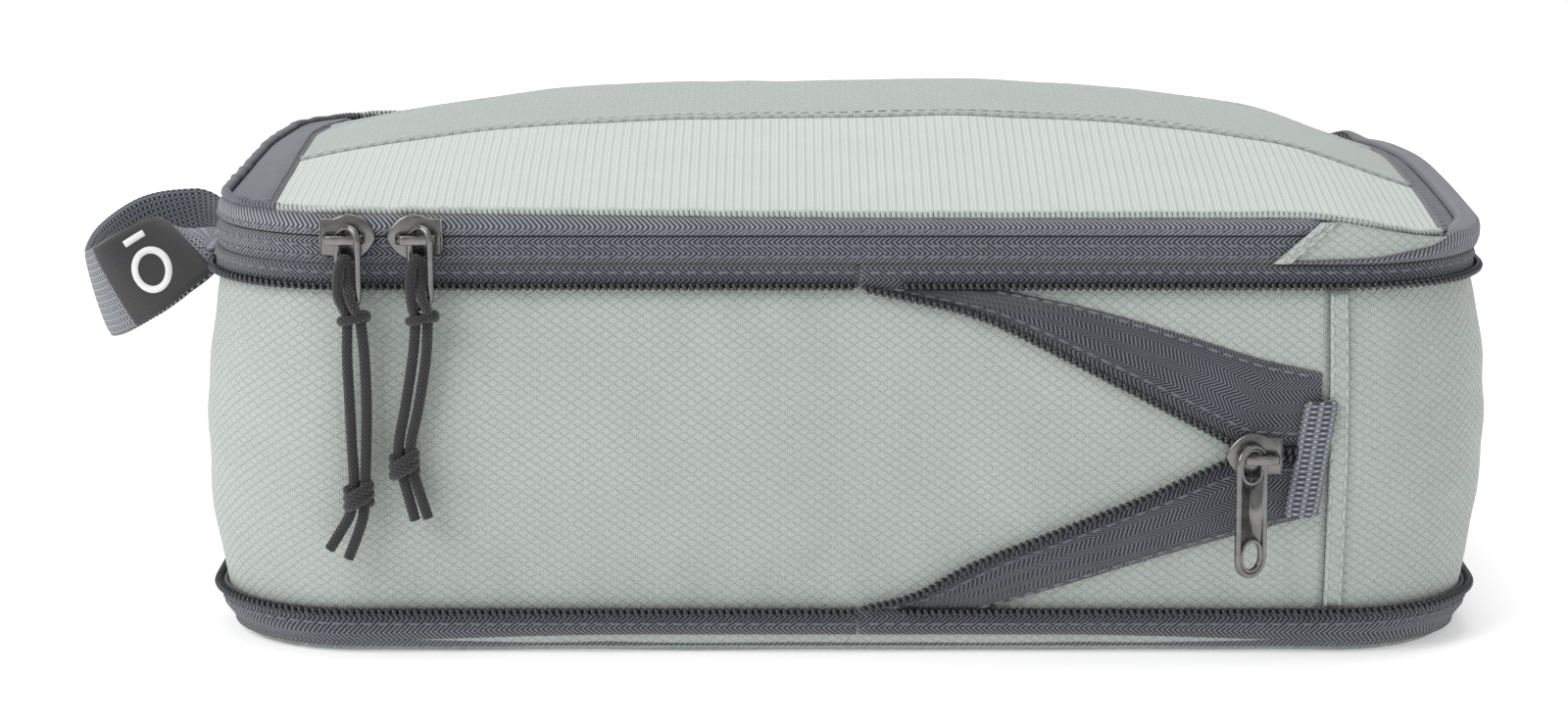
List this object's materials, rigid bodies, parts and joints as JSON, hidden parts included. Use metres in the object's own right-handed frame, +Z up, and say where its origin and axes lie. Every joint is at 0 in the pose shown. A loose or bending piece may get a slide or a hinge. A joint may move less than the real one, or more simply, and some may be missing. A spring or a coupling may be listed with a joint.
{
  "type": "compression packing cube",
  "caption": "Soft zipped packing cube with a domed mesh lid, a second zip round its walls that compresses it, corded zip pulls and a grab loop.",
  "frame": {"origin": "middle of the floor panel's underside", "axes": "+X along the length from the opening end to the hinge end, +Z up towards the lid, the front faces -Y"},
  "size_m": [0.2916, 0.199, 0.1042],
  "materials": {
    "sage_ripstop": "coated ripstop weave, low sheen",
    "pale_mesh": "open knitted mesh with raised ribs",
    "slate_tape": "herringbone woven tape",
    "black_coil": "moulded nylon coil",
    "black_label": "woven label",
    "gunmetal": "plated die-cast zinc",
    "black_cord": "braided cord"
  },
  "bodies": {
    "base": {"floor_panel": "sage_ripstop", "floor_seam_binding": "slate_tape", "main_wall_panel": "sage_ripstop", "hinge_end_wall_panel": "sage_ripstop", "lower_compression_tape": "slate_tape", "lower_compression_coil": "black_coil", "upper_run_in_tape": "slate_tape", "upper_run_in_coil": "black_coil", "lower_run_in_tape": "slate_tape", "lower_run_in_coil": "black_coil"},
    "rim": {"upper_compression_tape": "slate_tape", "upper_compression_coil": "black_coil", "rim_seam_binding": "slate_tape", "rim_zip_tape": "slate_tape", "rim_zip_coil": "slate_tape", "end_cap_panel": "sage_ripstop", "hinge_binding": "slate_tape", "left_slider_body": "gunmetal", "left_slider_bridge": "gunmetal"},
    "lid": {"lid_zip_tape": "slate_tape", "lid_zip_coil": "slate_tape", "lid_front_mesh": "pale_mesh", "lid_front_mesh_edge": "pale_mesh", "lid_front_mesh_free_end": "pale_mesh", "lid_front_mesh_hinge_end": "pale_mesh", "lid_centre_band": "sage_ripstop", "lid_back_mesh": "pale_mesh", "lid_back_mesh_edge": "pale_mesh", "lid_back_mesh_free_end": "pale_mesh", "lid_back_mesh_hinge_end": "pale_mesh", "lid_hinge_hem": "slate_tape"},
    "left_pull": {"left_pull_ring": "gunmetal"},
    "left_cord": {"left_cord_run_a": "black_cord", "left_cord_run_b": "black_cord", "left_cord_knot": "black_cord", "left_cord_tail_a": "black_cord", "left_cord_tail_b": "black_cord"},
    "right_slider": {"right_slider_body": "gunmetal", "right_slider_bridge": "gunmetal"},
    "right_pull": {"right_pull_ring": "gunmetal"},
    "right_cord": {"right_cord_run_a": "black_cord", "right_cord_run_b": "black_cord", "right_cord_knot": "black_cord", "right_cord_tail_a": "black_cord", "right_cord_tail_b": "black_cord"},
    "closure": {"compression_slider_body": "gunmetal", "compression_slider_bridge": "gunmetal", "parking_tab": "slate_tape"},
    "puller": {"compression_puller": "gunmetal"},
    "handle": {"grab_loop": "slate_tape", "size_label": "black_label"}
  },
  "joints": [
    {"name": "compress", "type": "slide", "parent": "base", "child": "rim", "axis": [0, 0, 1], "range_m": [-0.062, 0], "deforming": ["main_wall_panel", "hinge_end_wall_panel", "upper_run_in_tape", "upper_run_in_coil", "lower_run_in_tape", "lower_run_in_coil"]},
    {"name": "lid_hinge", "type": "hinge", "parent": "rim", "child": "lid", "pos_m": [0.1288, 0, 0.0878], "axis": [0, 1, 0], "range_deg": [0, 110]},
    {"name": "right_slide", "type": "slide", "parent": "rim", "child": "right_slider", "axis": [1, 0, 0], "range_m": [0, 0.15]},
    {"name": "left_pull_swing", "type": "hinge", "parent": "rim", "child": "left_pull", "pos_m": [-0.098, -0.0957, 0.085], "axis": [-1, 0, 0], "range_deg": [0, 75]},
    {"name": "right_pull_swing", "type": "hinge", "parent": "right_slider", "child": "right_pull", "pos_m": [-0.0838, -0.0957, 0.085], "axis": [-1, 0, 0], "range_deg": [0, 75]},
    {"name": "left_cord_lean", "type": "hinge", "parent": "left_pull", "child": "left_cord", "pos_m": [-0.0969, -0.0965, 0.0717], "axis": [-1, 0, 0], "range_deg": [0, 85]},
    {"name": "right_cord_lean", "type": "hinge", "parent": "right_pull", "child": "right_cord", "pos_m": [-0.0835, -0.0965, 0.0717], "axis": [-1, 0, 0], "range_deg": [0, 85]},
    {"name": "closure_ride", "type": "slide", "parent": "base", "child": "closure", "axis": [0, 0, 1], "range_m": [-0.0311, 0]},
    {"name": "puller_lean", "type": "hinge", "parent": "closure", "child": "puller", "pos_m": [0.0795, -0.1022, 0.0423], "axis": [-1, 0, 0], "range_deg": [0, 75]},
    {"name": "loop_flop", "type": "hinge", "parent": "rim", "child": "handle", "pos_m": [-0.1286, -0.025, 0.078], "axis": [0, 1, 0], "range_deg": [0, 21]}
  ],
  "couplings": [
    {"joint": "closure_ride", "follows": "compress", "ratio": 0.5},
    {"joint": "left_cord_lean", "follows": "compress", "rad_per_m": -23.646},
    {"joint": "right_cord_lean", "follows": "compress", "rad_per_m": -23.646},
    {"joint": "loop_flop", "follows": "compress", "rad_per_m": -5.63},
    {"joint": "puller_lean", "follows": "compress", "rad_per_m": -20.831}
  ]
}
